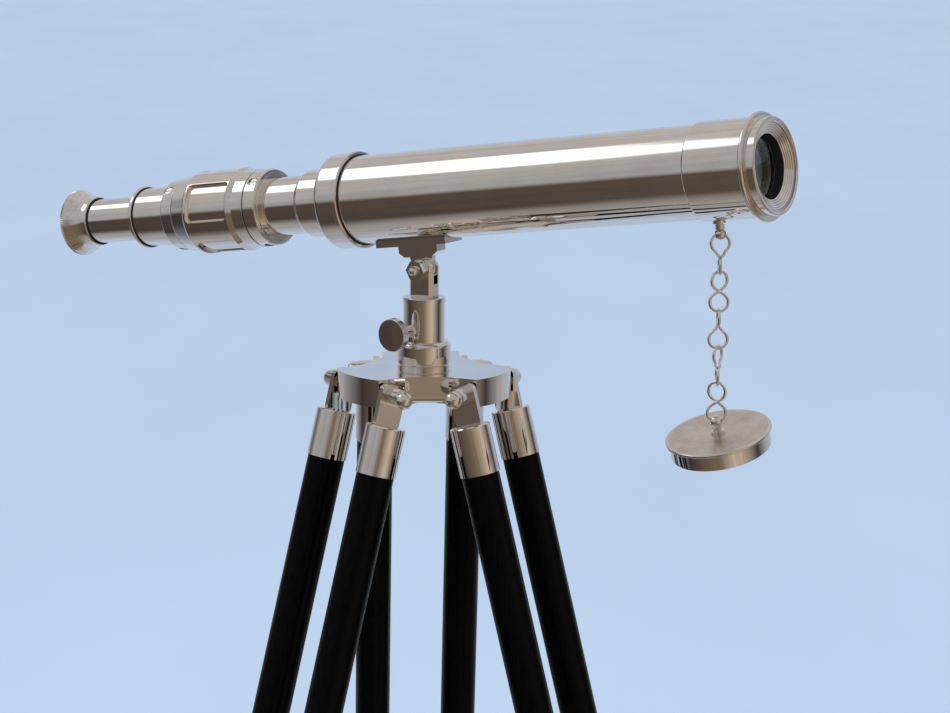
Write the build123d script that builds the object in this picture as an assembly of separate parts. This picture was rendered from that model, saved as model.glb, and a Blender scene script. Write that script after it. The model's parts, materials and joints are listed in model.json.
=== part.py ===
from build123d import *
from math import cos, radians, sin, sqrt
import os

os.makedirs("parts", exist_ok=True)

# A nickel-plated brass refracting telescope on a folding tripod with black wooden legs.
# Millimetres and degrees. The model is drawn about the pillar axis, with the floor at z = 0,
# and moved at the end so that the origin is the centre of its footprint box, on the floor.
# +X is to the right of the two front legs, +Y points to the back leg, +Z is up.

# ---- driving dimensions ----------------------------------------------------------------------
HUB_TOP = 1050.0            # height of the tripod hub's top face above the floor
HEADING = -36.3             # telescope's direction in plan, from +X
TILT = 8.2                  # objective end raised by this angle
AXIS_HEIGHT = 135.6         # telescope axis above the hub top, on the pillar axis
BARREL_R = 35.0
BARREL_BORE_R = 33.2
FIT = 0.02                  # radial gap between pieces fixed together
RUN = 0.06                  # radial gap of a turning or sliding fit
FACE_GAP = 0.15             # gap between flat faces of pieces that move on each other
SEAM = 0.45                 # open seam at each end of the focusing grip

# stations along the telescope axis, from the pillar axis, positive towards the objective
RIM_FRONT = 304.7
FLANGE_FRONT = 297.2
FLANGE_REAR = 293.6
SLEEVE_REAR = 246.5
CAP_FRONT = -58.4
CAP_REAR = -81.5
COLLAR_REAR = -108.5
FOCUSER_FRONT = -143.5
GRIP_FRONT = -155.7
GRIP_REAR = -229.7
HOUSING_REAR = -242.2
RING_FRONT = -276.0
RING_REAR = -279.2
NECK_FRONT = -330.0
CUP_REAR = -352.0

# radii of the turned pieces
SLEEVE_R = 36.8
FLANGE_R = 40.2
FRONT_RING_R = 36.0
OPENING_R = 23.4
CAP_R = 37.7
CAP_LIP_R = 38.4
COLLAR_R = 26.8
DRAW_R = 23.4
FOCUS_RING_R = 31.0
GRIP_R = 33.8
HOUSING_R = 28.9
HOUSING_CORE_R = 27.0
EYEPIECE_SLEEVE_R = 24.0
EYE_TUBE_R = 18.4
CUP_R = 27.5
LENS_R = 25.0

# altitude pivot, in the telescope's own axes
PIVOT_HEIGHT = 77.3         # above the hub top
PIVOT_STATION = -(AXIS_HEIGHT - PIVOT_HEIGHT) * sin(radians(TILT))
PIVOT_DROP = (AXIS_HEIGHT - PIVOT_HEIGHT) * cos(radians(TILT))
SADDLE_BOTTOM = 38.2        # flat underside of the saddle, below the telescope axis

# hub and pillar
HUB_R = 68.5
HUB_THICKNESS = 21.5
ARM_HALF_WIDTH = 31.0
WEB_DISTANCE = 45.5         # centre to the flat faces between the arms
HUB_EDGE_RADIUS = 7.0
PILLAR_R = 16.3
PILLAR_COLLAR_R = 21.2
PILLAR_TOP = 55.7
STEM_R = 12.0
STEM_FOOT = 12.0            # depth of the pillar's blind bore, above the hub top
LOCK_HEIGHT = 30.0
LOCK_HEADING = -131.5       # direction of the azimuth lock screw, in plan, from +X

# legs
LEG_HEADINGS = {"right": -30.0, "left": -150.0, "back": 90.0}
SPLAY = 14.5
LEG_PIVOT_R = 52.4          # pivot bolt from the pillar axis
LEG_PIVOT_DROP = 12.9       # pivot bolt below the hub top
ROD_R = 14.6
ROD_OFFSET = 36.5           # half the spacing of a leg's two upper rods
TONGUE_INNER = 33.0 + FACE_GAP
TONGUE_OUTER = 38.0
TONGUE_WIDTH = 21.6
FERRULE_R = 15.5
FERRULE_TOP = 23.0          # below the pivot, along the leg
FERRULE_END = 61.0
CLAMP_TOP = 515.0
CLAMP_END = 560.0
LOWER_ROD_R = 13.5
LOWER_ROD_TOP = 480.0
FOOT_R = 16.0
FOOT_CENTRE = (HUB_TOP - LEG_PIVOT_DROP - FOOT_R) / cos(radians(SPLAY))
LEG_BOLT_R = 4.0

# lens lid and its chain
STUD_STATION = 254.2
STUD_DROP = 9.3             # ball centre below the sleeve's surface
STUD_BALL_R = 4.6
WIRE_R = 1.0
LOOP_R = 7.6                # wire centre radius of each loop of a link
WAIST_OVERLAP = 0.6         # the two loops of a link merge by this much
LINK_GAP = 0.3              # between the wires of two linked loops
LINK_LENGTH = 4 * LOOP_R - WAIST_OVERLAP      # between the centres of its end wires
LINK_PITCH = LINK_LENGTH - 2 * WIRE_R - LINK_GAP
LINK_TURNS = (-4.0, 26.0, 86.0, 56.0, -34.0)   # upper loop's plane in plan, from +X
LINK_TWISTS = (90.0, -30.0, -90.0, 30.0, 30.0)
LID_TILT = 10.8
LID_ROLL = 12.5
LID_R = 39.9
LID_SKIRT_R = 37.4
LID_SKIRT_BORE_R = 36.4
LID_DEPTH = 13.8
LID_TOP_DROP = 8.6          # lid's top face below the centre of its ball knob
LID_BALL_R = 5.0

nodes = {}


# ---- shared shapes ---------------------------------------------------------------------------
def rod(radius, start, end, x=0.0, y=0.0):
    """Cylinder along Z from start to end."""
    return Pos(x, y, (start + end) / 2) * Cylinder(radius, abs(end - start))


def cross_rod(radius, start, end, x=0.0, z=0.0):
    """Cylinder along Y from start to end."""
    return Pos(x, (start + end) / 2, z) * Rot(X=90) * Cylinder(radius, abs(end - start))


def long_rod(radius, start, end, y=0.0, z=0.0):
    """Cylinder along X from start to end."""
    return Pos((start + end) / 2, y, z) * Rot(Y=90) * Cylinder(radius, abs(end - start))


def turned(outline, rounds=()):
    """Solid of revolution about X. outline holds (station, radius); rounds ((corner), radius)."""
    face = make_face(Polyline(*outline, close=True))
    for corner, radius in rounds:
        vertex = face.vertices().sort_by_distance((*corner, 0))[0]
        face = fillet(vertex, radius)
    return revolve(face, Axis.X)


def ring(outer, inner, start, end):
    """Plain turned ring about X."""
    return turned([(start, inner), (end, inner), (end, outer), (start, outer)])


def lens_face(vertex, edge, radius):
    """Half of a lens surface, from its vertex on the axis to its edge; flat if they are level."""
    sag = vertex - edge
    if sag == 0:
        return Line((vertex, 0), (edge, radius))
    sphere = (radius ** 2 + sag ** 2) / (2 * abs(sag))
    half_depth = sphere - sqrt(sphere ** 2 - (radius / 2) ** 2)
    bend = vertex - half_depth if sag > 0 else vertex + half_depth
    return ThreePointArc((vertex, 0), (bend, radius / 2), (edge, radius))


def lens(radius, rear, front, rear_edge, front_edge):
    """Lens about X, given the stations of its two vertices and of its two edges."""
    outline = [
        Line((rear, 0), (front, 0)),
        lens_face(front, front_edge, radius),
        Line((front_edge, radius), (rear_edge, radius)),
        lens_face(rear, rear_edge, radius),
    ]
    return revolve(make_face(outline), Axis.X)


def around_axis(shape, angle):
    """Turn a shape drawn on +Z about the telescope axis; 0 is its right-hand side, 90 its top."""
    return Rot(X=90 - angle) * shape


def slotted_screw(head_r, head_top, head_depth, shank_r, shank_end):
    """Cheese-head screw along Z, its head's top at head_top."""
    head = rod(head_r, head_top - head_depth, head_top)
    slot = Pos(0, 0, head_top) * Box(2 * head_r + 1, head_r * 0.28, head_depth * 0.9)
    return head + rod(shank_r, shank_end, head_top - head_depth) - slot


def acorn(radius, dome_r, start, side):
    """Domed nut body along Y: a round base and a ball end, standing out from start."""
    base_end = start + side * 12.0
    dome_centre = start + side * 15.0
    dome = Pos(0, dome_centre, 0) * Sphere(dome_r)
    return cross_rod(radius, start, base_end) + cross_rod(dome_r, base_end - side, dome_centre) + dome


# ---- where things stand ----------------------------------------------------------------------
heading, tilt = radians(HEADING), radians(TILT)
tube_frame = Plane(
    origin=(0, 0, HUB_TOP + AXIS_HEIGHT),
    x_dir=(cos(tilt) * cos(heading), cos(tilt) * sin(heading), sin(tilt)),
    z_dir=(-sin(tilt) * cos(heading), -sin(tilt) * sin(heading), cos(tilt)),
)
post_frame = Plane(origin=(0, 0, HUB_TOP), x_dir=(cos(heading), sin(heading), 0), z_dir=(0, 0, 1))
hub_frame = Plane(origin=(0, 0, HUB_TOP), x_dir=(1, 0, 0), z_dir=(0, 0, 1))


def leg_frame(leg_heading):
    """Origin at the pivot bolt, X outwards, Y along the bolt, Z up along the leg."""
    plan, splay = radians(leg_heading), radians(SPLAY)
    return Plane(
        origin=(LEG_PIVOT_R * cos(plan), LEG_PIVOT_R * sin(plan), HUB_TOP - LEG_PIVOT_DROP),
        x_dir=(cos(splay) * cos(plan), cos(splay) * sin(plan), sin(splay)),
        z_dir=(-sin(splay) * cos(plan), -sin(splay) * sin(plan), cos(splay)),
    )


def put(name, shape, frame):
    nodes[name] = frame.location * shape


# ---- tripod hub ------------------------------------------------------------------------------
def hub():
    arm_length = 1.4 * HUB_R
    outline = RegularPolygon(2 * WEB_DISTANCE, 3, major_radius=True, rotation=90)
    for plan in LEG_HEADINGS.values():
        outline += Rot(Z=plan) * Pos(arm_length / 2, 0) * Rectangle(arm_length, 2 * ARM_HALF_WIDTH)
    body = extrude(outline, -HUB_THICKNESS)
    lower = body.edges().filter_by(lambda edge: abs(edge.center().Z + HUB_THICKNESS) < 0.01)
    sides = lower.filter_by(lambda edge: Vector(edge.center().X, edge.center().Y, 0).length < HUB_R)
    body = fillet(sides, HUB_EDGE_RADIUS)
    body &= rod(HUB_R, -HUB_THICKNESS, 0)
    for plan in LEG_HEADINGS.values():
        spacers = Rot(Z=plan) * cross_rod(8.0, -33.0, 33.0, LEG_PIVOT_R, -LEG_PIVOT_DROP)
        bolt_hole = Rot(Z=plan) * cross_rod(LEG_BOLT_R + FIT, -40.0, 40.0, LEG_PIVOT_R, -LEG_PIVOT_DROP)
        body = body + spacers - bolt_hole
    return body - rod(5.0 + FIT, -30.0, 5.0)


put("tripod_hub", hub(), hub_frame)

# ---- pillar socket, its fixing bolt and the azimuth lock --------------------------------------
lock_turn = Rot(Z=LOCK_HEADING)
pillar = Rot(Y=-90) * turned(
    [
        (0, 0), (0, PILLAR_COLLAR_R), (2.2, PILLAR_COLLAR_R), (2.9, PILLAR_COLLAR_R - 0.9),
        (3.6, PILLAR_COLLAR_R), (21.0, PILLAR_COLLAR_R), (21.0, PILLAR_R), (52.2, PILLAR_R),
        (52.2, PILLAR_R + 0.6), (PILLAR_TOP, PILLAR_R + 0.6), (PILLAR_TOP, 0),
    ],
    (((21.0, PILLAR_COLLAR_R), 4.2), ((PILLAR_TOP, PILLAR_R + 0.6), 0.8)),
)
pillar += lock_turn * long_rod(4.8, STEM_R + 1, 26.5, z=LOCK_HEIGHT)
pillar -= rod(STEM_R + RUN, STEM_FOOT, PILLAR_TOP + 1)
pillar -= lock_turn * long_rod(3.0 + RUN, STEM_R - 2, 30.0, z=LOCK_HEIGHT)
pillar -= rod(5.0 + FIT, -1.0, 9.5)
put("pillar_socket", pillar, hub_frame)

hex_head = extrude(RegularPolygon(9.0, 6), 6.0)
pillar_bolt = Pos(0, 0, -HUB_THICKNESS - 6.0) * hex_head + rod(5.0, -HUB_THICKNESS, 9.0)
put("pillar_bolt", pillar_bolt, hub_frame)

KNOB_R = 13.0
knob_outline = [
    (STEM_R + 0.12, 0), (STEM_R + 0.12, 3.0), (27.6, 3.0), (27.6, 4.8), (34.5, 4.8), (34.5, KNOB_R),
    (41.0, KNOB_R), (41.6, 0),
]
azimuth_screw = turned(knob_outline, (((41.0, KNOB_R), 0.6), ((34.5, KNOB_R), 0.6)))
put("azimuth_lock_screw", lock_turn * Pos(0, 0, LOCK_HEIGHT) * azimuth_screw, hub_frame)

# ---- leg pivot bolts and their domed nuts -----------------------------------------------------
bolts, nuts = [], []
for plan in LEG_HEADINGS.values():
    seat = Rot(Z=plan) * Pos(LEG_PIVOT_R, 0, -LEG_PIVOT_DROP)
    bearing = TONGUE_OUTER + FACE_GAP
    bolts.append(seat * (cross_rod(LEG_BOLT_R, -bearing, bearing + 9.0) + acorn(7.5, 6.8, -bearing, -1)))
    nuts.append(seat * (acorn(7.5, 6.8, bearing, 1) - cross_rod(LEG_BOLT_R + FIT, bearing - 1, bearing + 9.0)))
put("leg_pivot_bolts", Compound(children=bolts), hub_frame)
put("leg_pivot_nuts", Compound(children=nuts), hub_frame)

# ---- swivel post and the altitude bolt --------------------------------------------------------
POST_WIDTH, POST_THICKNESS, SLOT = 21.5, 13.0, 5.3
POST_TOP = PIVOT_HEIGHT + 7.5
TONGUE_R = 9.6
ALT_BOLT_R = 3.9
head_height = POST_TOP - PILLAR_TOP
post_head = Pos(0, 0, POST_TOP - head_height / 2) * Box(POST_WIDTH, POST_THICKNESS, head_height)
post_head = chamfer(post_head.edges().filter_by(Axis.Z), 2.4)
round_top = Pos(0, 0, POST_TOP - 40) * Rot(X=90) * extrude(RectangleRounded(POST_WIDTH, 80, 8.0), 10, both=True)
post = (post_head & round_top) + rod(STEM_R, STEM_FOOT + FACE_GAP, PILLAR_TOP)
post -= Pos(0, 0, POST_TOP) * Box(POST_WIDTH + 2, SLOT, 2 * (7.5 + TONGUE_R + 1.5))
post -= cross_rod(ALT_BOLT_R + FIT, -10, 10, z=PIVOT_HEIGHT)
put("swivel_post", post, post_frame)

cheek = POST_THICKNESS / 2
pivot_seat = Pos(0, 0, PIVOT_HEIGHT)
alt_head = turned([(0, 0), (0, 6.6), (2.0, 6.6), (4.6, 4.4), (5.2, 0)], (((2.0, 6.6), 0.8),))
altitude_bolt = cross_rod(ALT_BOLT_R, -cheek - 8.6, cheek) + Pos(0, cheek, 0) * Rot(Z=90) * alt_head
altitude_bolt += Pos(0, -cheek - 8.6, 0) * Sphere(ALT_BOLT_R)
put("altitude_bolt", pivot_seat * altitude_bolt, post_frame)

hex_nut = Rot(X=90) * extrude(RegularPolygon(8.2, 6), 6.2)
washer = cross_rod(8.6, -cheek - 1.2, -cheek)
nut_stack = Pos(0, -cheek - 1.2, 0) * hex_nut + washer
put("altitude_nut", pivot_seat * (nut_stack - cross_rod(ALT_BOLT_R + FIT, -20, 0)), post_frame)

# ---- saddle under the barrel ------------------------------------------------------------------
SADDLE_REAR, SADDLE_FRONT, SADDLE_HALF_WIDTH = -43.0, 22.0, 12.0
SADDLE_SCREW_STATIONS = (-34.0, 14.0)
saddle_length = SADDLE_FRONT - SADDLE_REAR
saddle_middle = (SADDLE_FRONT + SADDLE_REAR) / 2
saddle = Pos(saddle_middle, 0, -SADDLE_BOTTOM + 5) * Box(saddle_length, 2 * SADDLE_HALF_WIDTH, 10)
saddle -= long_rod(BARREL_R + FIT, -80, 60)
for station in SADDLE_SCREW_STATIONS:
    saddle -= rod(2.0 + FIT, -50, 0, x=station)
put("saddle_plate", saddle, tube_frame)

BLOCK_HALF_LENGTH, BLOCK_FOOT_HALF_LENGTH, BLOCK_THICKNESS = 18.0, 13.0, 12.0
BLOCK_BOTTOM = PIVOT_DROP - 10.2
BLOCK_SIDE_BOTTOM = SADDLE_BOTTOM + 5.8
block_face = make_face(
    Polyline(
        (-BLOCK_HALF_LENGTH, -SADDLE_BOTTOM), (-BLOCK_HALF_LENGTH, -BLOCK_SIDE_BOTTOM),
        (-BLOCK_FOOT_HALF_LENGTH, -BLOCK_BOTTOM), (BLOCK_FOOT_HALF_LENGTH, -BLOCK_BOTTOM),
        (BLOCK_HALF_LENGTH, -BLOCK_SIDE_BOTTOM), (BLOCK_HALF_LENGTH, -SADDLE_BOTTOM), close=True,
    )
)
block = Pos(PIVOT_STATION, 0, 0) * Rot(X=90) * extrude(block_face, BLOCK_THICKNESS / 2, both=True)
tongue_face = make_face(
    Polyline(
        (-11.5, 14.0), (-TONGUE_R, 6.0), (-TONGUE_R, 0), (TONGUE_R, 0), (TONGUE_R, 6.0), (11.5, 14.0),
        close=True,
    )
)
tongue = extrude(tongue_face + Circle(TONGUE_R), (SLOT - 2 * FACE_GAP) / 2, both=True)
tongue = Pos(PIVOT_STATION, 0, -PIVOT_DROP) * Rot(X=90) * tongue
bracket = block + tongue - cross_rod(ALT_BOLT_R + RUN, -10, 10, x=PIVOT_STATION, z=-PIVOT_DROP)
put("saddle_bracket", bracket, tube_frame)

CAP_SCREW_ANGLES = (-71.0, 109.0)
CAP_SCREW_STATION = -67.0
tube_screws = []
for station in SADDLE_SCREW_STATIONS:
    tube_screws.append(rod(2.0, -SADDLE_BOTTOM, -BARREL_BORE_R - 0.1, x=station))
for angle in CAP_SCREW_ANGLES:
    tube_screws.append(around_axis(rod(1.5, 33.9, 37.2, x=CAP_SCREW_STATION), angle))
put("tube_screws", Compound(children=tube_screws), tube_frame)

# ---- main barrel and its front end ------------------------------------------------------------
barrel = ring(BARREL_R, BARREL_BORE_R, CAP_REAR + 3.5, FLANGE_REAR - 0.1)
for station in SADDLE_SCREW_STATIONS:
    barrel -= rod(2.0 + FIT, -40, -20, x=station)
for angle in CAP_SCREW_ANGLES:
    barrel -= around_axis(rod(1.5 + FIT, 33.9, 40, x=CAP_SCREW_STATION), angle)
put("main_barrel", barrel, tube_frame)

STUD_SHANK_R = 1.6
sleeve = turned(
    [
        (SLEEVE_REAR, BARREL_R + FIT), (FLANGE_REAR - 0.1, BARREL_R + FIT), (FLANGE_REAR - 0.1, SLEEVE_R),
        (SLEEVE_REAR + 1.2, SLEEVE_R), (SLEEVE_REAR, SLEEVE_R - 0.7),
    ]
)
sleeve -= rod(STUD_SHANK_R + FIT, -50, 0, x=STUD_STATION)
put("objective_sleeve", sleeve, tube_frame)

LENS_SEAT = 279.0           # rear shoulder that the objective rests on
LENS_FRONT = 291.0
SPIGOT_R = BARREL_BORE_R - 0.1
cell = turned(
    [
        (LENS_SEAT - 4, 22.5), (LENS_SEAT, 22.5), (LENS_SEAT, LENS_R + 0.1), (LENS_FRONT + 0.2, LENS_R + 0.1),
        (LENS_FRONT + 0.2, 31.5), (RIM_FRONT - 1.6, 31.5), (RIM_FRONT - 1.6, 33.2), (RIM_FRONT, 33.2),
        (RIM_FRONT, FRONT_RING_R), (FLANGE_FRONT, FRONT_RING_R), (FLANGE_FRONT, FLANGE_R),
        (FLANGE_REAR, FLANGE_R), (FLANGE_REAR, SPIGOT_R), (LENS_SEAT - 4, SPIGOT_R),
    ],
    (
        ((RIM_FRONT, FRONT_RING_R), 1.0), ((FLANGE_FRONT, FLANGE_R), 1.3), ((FLANGE_REAR, FLANGE_R), 1.3),
    ),
)
put("objective_cell", cell, tube_frame)

# the retaining ring steps down from the rim to the opening in shallow turned rings; the opening's
# wall ends just in front of the lens
OPENING_GAP = 0.4
bezel = turned(
    [
        (LENS_FRONT - 0.6, 24.2), (LENS_FRONT + OPENING_GAP, 24.2), (LENS_FRONT + OPENING_GAP, OPENING_R),
        (RIM_FRONT - 5.5, OPENING_R), (RIM_FRONT - 5.5, 25.0), (RIM_FRONT - 4.45, 25.0), (RIM_FRONT - 4.45, 26.6),
        (RIM_FRONT - 3.4, 26.6), (RIM_FRONT - 3.4, 28.2), (RIM_FRONT - 2.35, 28.2), (RIM_FRONT - 2.35, 29.8),
        (RIM_FRONT - 1.3, 29.8), (RIM_FRONT - 1.3, 31.4), (LENS_FRONT + 6.0, 31.4), (LENS_FRONT + 6.0, 25.0),
        (LENS_FRONT - 0.6, 25.0),
    ]
)
put("objective_retaining_ring", bezel, tube_frame)

put("crown_lens", lens(LENS_R, 284.4, LENS_FRONT, 287.0, LENS_FRONT - 2.0), tube_frame)
put("flint_lens", lens(LENS_R, LENS_SEAT + 0.05, 284.3, LENS_SEAT + 0.05, 286.8), tube_frame)

BAFFLE_STATIONS = {120.0: 17.5, 210.0: 21.0}
baffles = []
for station, aperture in BAFFLE_STATIONS.items():
    baffles.append(
        turned(
            [
                (station, aperture), (station + 1.2, aperture), (station + 1.2, 31.9), (station + 9.0, 31.9),
                (station + 9.0, SPIGOT_R), (station, SPIGOT_R),
            ]
        )
    )
put("barrel_baffles", Compound(children=baffles), tube_frame)

# ---- rear cap, collar and draw tube guide -----------------------------------------------------
COLLAR_SPIGOT_R = 25.4
cap = turned(
    [
        (CAP_FRONT, BARREL_R + FIT), (CAP_FRONT, CAP_LIP_R), (CAP_FRONT - 3.0, CAP_LIP_R),
        (CAP_FRONT - 3.6, CAP_R), (CAP_REAR, CAP_R), (CAP_REAR, COLLAR_SPIGOT_R + FIT),
        (CAP_REAR + 3.4, COLLAR_SPIGOT_R + FIT), (CAP_REAR + 3.4, BARREL_R + FIT),
    ],
    (((CAP_REAR, CAP_R), 4.5), ((CAP_FRONT, CAP_LIP_R), 0.8)),
)
for angle in CAP_SCREW_ANGLES:
    cap -= around_axis(rod(1.5 + FIT, 33.9, 45, x=CAP_SCREW_STATION), angle)
put("rear_cap", cap, tube_frame)

BUSH_R = 24.9
collar = turned(
    [
        (COLLAR_REAR, DRAW_R + 0.4), (COLLAR_REAR + 4, DRAW_R + 0.4), (COLLAR_REAR + 4, BUSH_R),
        (CAP_REAR + 3.4, BUSH_R), (CAP_REAR + 3.4, COLLAR_SPIGOT_R), (CAP_REAR, COLLAR_SPIGOT_R),
        (CAP_REAR, COLLAR_R), (COLLAR_REAR, COLLAR_R),
    ],
    (((COLLAR_REAR, COLLAR_R), 1.8),),
)
put("rear_collar", collar, tube_frame)
put("draw_guide_bush", ring(BUSH_R - FIT, DRAW_R + RUN, COLLAR_REAR + 4.1, CAP_REAR + 3.4), tube_frame)

DRAW_FRONT = 40.0
DRAW_STOP_R = 32.6
SCREW_ANGLES = (48.0, 168.0, 288.0)
FOCUSER_SCREW_STATION = -149.0
draw = turned(
    [
        (GRIP_FRONT + 1, 21.9), (DRAW_FRONT, 21.9), (DRAW_FRONT, DRAW_STOP_R), (DRAW_FRONT - 6, DRAW_STOP_R),
        (DRAW_FRONT - 6, DRAW_R), (GRIP_FRONT + 1, DRAW_R),
    ]
)
for angle in SCREW_ANGLES:
    draw -= around_axis(rod(1.8 + FIT, 20, 30, x=FOCUSER_SCREW_STATION), angle)
put("draw_tube", draw, tube_frame)

# ---- focuser ---------------------------------------------------------------------------------
HEAD_R = 3.4
end_ring = turned(
    [
        (FOCUSER_FRONT, DRAW_R + FIT), (FOCUSER_FRONT, 26.6), (FOCUSER_FRONT - 0.8, 27.2),
        (FOCUSER_FRONT, 27.8), (FOCUSER_FRONT, FOCUS_RING_R), (GRIP_FRONT + SEAM, FOCUS_RING_R + 0.4),
        (GRIP_FRONT + SEAM, DRAW_R + FIT),
    ],
    (((FOCUSER_FRONT, FOCUS_RING_R), 1.6),),
)
for angle in SCREW_ANGLES:
    recess = rod(HEAD_R + 0.45, FOCUS_RING_R - 2.0, 40, x=FOCUSER_SCREW_STATION)
    end_ring -= around_axis(recess + rod(1.8 + FIT, 20, 35, x=FOCUSER_SCREW_STATION), angle)
put("focus_end_ring", end_ring, tube_frame)

HOUSING_SCREW_STATION = -237.5
HOUSING_BORE_R = EYEPIECE_SLEEVE_R + RUN
housing = turned(
    [
        (HOUSING_REAR, HOUSING_BORE_R), (GRIP_FRONT + 0.05, HOUSING_BORE_R),
        (GRIP_FRONT + 0.05, HOUSING_CORE_R), (GRIP_REAR - SEAM, HOUSING_CORE_R),
        (GRIP_REAR - SEAM, HOUSING_R + 0.7), (HOUSING_REAR, HOUSING_R),
    ],
    (((HOUSING_REAR, HOUSING_R), 1.4),),
)
for angle in SCREW_ANGLES:
    recess = rod(HEAD_R + 0.45, HOUSING_R - 1.9, 40, x=HOUSING_SCREW_STATION)
    housing -= around_axis(recess + rod(1.8 + FIT, 24.6, 35, x=HOUSING_SCREW_STATION), angle)
put("focus_housing", housing, tube_frame)

focus_screws = []
for angle in SCREW_ANGLES:
    front = slotted_screw(HEAD_R, FOCUS_RING_R - 0.4, 1.6, 1.8, 22.2)
    rear = slotted_screw(HEAD_R, HOUSING_R - 0.3, 1.6, 1.8, 24.7)
    focus_screws.append(around_axis(Pos(FOCUSER_SCREW_STATION, 0, 0) * front, angle))
    focus_screws.append(around_axis(Pos(HOUSING_SCREW_STATION, 0, 0) * rear, angle))
put("focus_screws", Compound(children=focus_screws), tube_frame)

POCKET_COUNT = 4
POCKET_FRONT, POCKET_REAR = -172.2, -212.0
POCKET_WIDTH, POCKET_FLOOR_R, POCKET_PHASE = 32.3, 31.0, 18.5
grip = turned(
    [
        (GRIP_FRONT, HOUSING_CORE_R + RUN), (GRIP_FRONT, 31.6), (-166.5, 31.9), (-171.2, GRIP_R),
        (-214.4, GRIP_R), (-216.5, 32.2), (GRIP_REAR, 30.2), (GRIP_REAR, HOUSING_CORE_R + RUN),
    ],
    (((-214.4, GRIP_R), 1.2),),
)
pocket_length = POCKET_FRONT - POCKET_REAR
pocket_middle = (POCKET_FRONT + POCKET_REAR) / 2
pocket = Pos(pocket_middle, 0, 20) * extrude(RectangleRounded(pocket_length, POCKET_WIDTH, 3.2), 20)
pocket -= long_rod(POCKET_FLOOR_R, POCKET_REAR - 5, POCKET_FRONT + 5)
for index in range(POCKET_COUNT):
    grip -= around_axis(pocket, POCKET_PHASE + index * 360 / POCKET_COUNT)
put("focus_grip", grip, tube_frame)

# ---- eyepiece --------------------------------------------------------------------------------
SLEEVE_INNER_END = -212.0
eyepiece_sleeve = turned(
    [
        (RING_REAR, EYE_TUBE_R + FIT), (RING_FRONT, EYE_TUBE_R + FIT), (RING_FRONT, 22.6),
        (SLEEVE_INNER_END, 22.6), (SLEEVE_INNER_END, EYEPIECE_SLEEVE_R), (RING_FRONT, EYEPIECE_SLEEVE_R),
        (RING_FRONT, 25.6), (RING_REAR, 25.6),
    ],
    (((RING_REAR, 25.6), 1.0), ((RING_FRONT, 25.6), 1.0)),
)
put("eyepiece_sleeve", eyepiece_sleeve, tube_frame)

EYE_TUBE_BORE_R = 17.0
EYE_TUBE_FRONT = -262.0
put("eye_tube", ring(EYE_TUBE_R, EYE_TUBE_BORE_R, -341.0, EYE_TUBE_FRONT), tube_frame)

EYE_HOLE_R = 9.0
cup_outline = [
    Line((NECK_FRONT, EYE_TUBE_R + FIT), (NECK_FRONT, 20.0)),
    Line((NECK_FRONT, 20.0), (NECK_FRONT - 1.2, 20.6)),
    Line((NECK_FRONT - 1.2, 20.6), (NECK_FRONT - 4.0, 20.6)),
    ThreePointArc((NECK_FRONT - 4.0, 20.6), (NECK_FRONT - 11.5, 23.2), (CUP_REAR + 3.0, CUP_R - 0.4)),
    Line((CUP_REAR + 3.0, CUP_R - 0.4), (CUP_REAR + 2.6, CUP_R)),
    Line((CUP_REAR + 2.6, CUP_R), (CUP_REAR + 0.6, CUP_R)),
    Line((CUP_REAR + 0.6, CUP_R), (CUP_REAR, CUP_R - 0.8)),
    ThreePointArc((CUP_REAR, CUP_R - 0.8), (CUP_REAR + 4.2, 17.0), (CUP_REAR + 5.2, EYE_HOLE_R)),
    Line((CUP_REAR + 5.2, EYE_HOLE_R), (CUP_REAR + 6.4, EYE_HOLE_R)),
    Line((CUP_REAR + 6.4, EYE_HOLE_R), (CUP_REAR + 6.4, 15.0)),
    Line((CUP_REAR + 6.4, 15.0), (-341.1, 15.0)),
    Line((-341.1, 15.0), (-341.1, EYE_TUBE_R + FIT)),
    Line((-341.1, EYE_TUBE_R + FIT), (NECK_FRONT, EYE_TUBE_R + FIT)),
]
put("eye_cup", revolve(make_face(cup_outline), Axis.X), tube_frame)

put("eye_lens", lens(14.8, CUP_REAR + 6.5, -339.6, CUP_REAR + 6.5, -342.0), tube_frame)
put("eyepiece_spacer", ring(EYE_TUBE_BORE_R - FIT, 13.6, -337.0, -300.0), tube_frame)
put("field_lens", lens(EYE_TUBE_BORE_R - FIT, -299.9, -294.0, -299.9, -297.4), tube_frame)
put("eyepiece_retaining_ring", ring(EYE_TUBE_BORE_R - FIT, 14.2, -296.3, -290.5), tube_frame)

# ---- chain stud, chain and lid ---------------------------------------------------------------
def cross_hole(reach):
    """Hole along X that widens outwards, so that the wire of a chain loop passes and can swing."""
    side = turned(
        [
            (0, 0), (0, WIRE_R + 0.35), (1.0, WIRE_R + 0.4), (2.0, WIRE_R + 0.65), (3.0, WIRE_R + 1.05),
            (4.0, WIRE_R + 1.65), (reach, WIRE_R + 1.65 + 0.85 * (reach - 4.0)), (reach, 0),
        ]
    )
    return side + mirror(side, Plane.YZ)


stud_surface = -SLEEVE_R
stud = rod(5.0, stud_surface - 1.4, stud_surface + 0.4, x=STUD_STATION)
stud -= long_rod(SLEEVE_R + 0.01, STUD_STATION - 10, STUD_STATION + 10)
stud += rod(2.9, stud_surface - 7.0, stud_surface - 1.3, x=STUD_STATION)
for drop in (2.4, 4.2):
    stud += rod(3.8, stud_surface - drop - 1.0, stud_surface - drop, x=STUD_STATION)
stud += rod(STUD_SHANK_R, stud_surface - 1.0, -BARREL_R - 0.1, x=STUD_STATION)
ball_centre = (tube_frame.location * Pos(STUD_STATION, 0, stud_surface - STUD_DROP)).position
stud += Pos(STUD_STATION, 0, stud_surface - STUD_DROP) * Sphere(STUD_BALL_R)
first_turn = Rot(Z=LINK_TURNS[0])
stud = tube_frame.location * stud
stud -= Pos(*ball_centre) * first_turn * cross_hole(STUD_BALL_R + 0.6)
nodes["chain_stud"] = stud

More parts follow.
